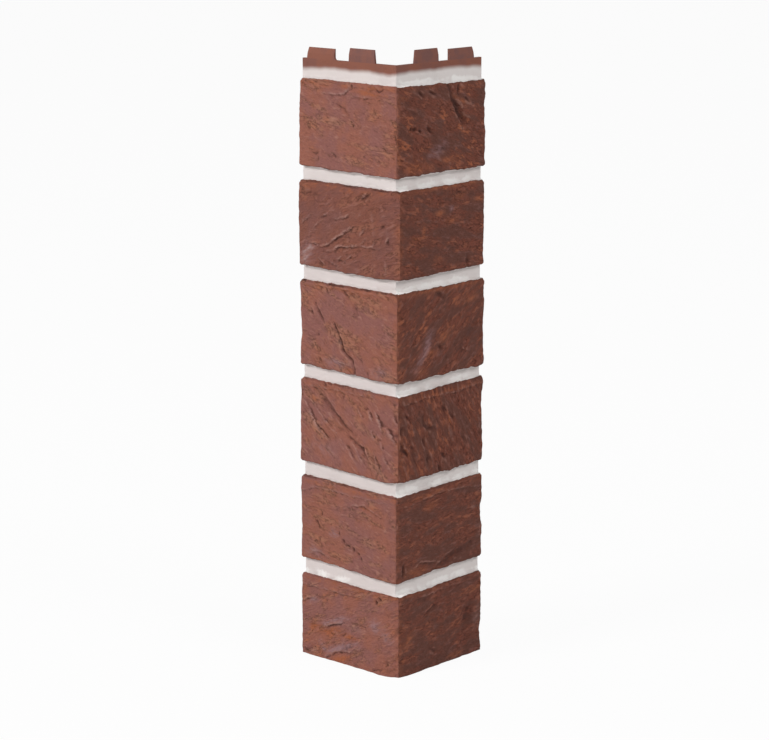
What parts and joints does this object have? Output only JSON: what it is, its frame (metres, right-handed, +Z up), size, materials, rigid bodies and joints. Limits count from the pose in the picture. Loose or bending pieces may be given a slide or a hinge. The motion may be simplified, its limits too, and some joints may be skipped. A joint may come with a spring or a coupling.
{
  "type": "brick-effect outside corner cladding panel",
  "caption": "Outside corner cladding panel moulded as a stack of brick slips with recessed mortar joints, and a tabbed top flange that locks under the next corner.",
  "frame": {"origin": "the building's corner line, where the two back planes meet, at the height of the bottom edge", "axes": "+Z up along the corner; one leg runs along +X with its face towards -Y, the other runs along +Y with its face towards -X"},
  "size_m": [0.0917, 0.0913, 0.4325],
  "materials": {
    "brick_plastic": "matte brick-brown plastic with off-white sprayed mortar joints"
  },
  "bodies": {
    "root": {"corner_panel": "brick_plastic"}
  },
  "joints": []
}
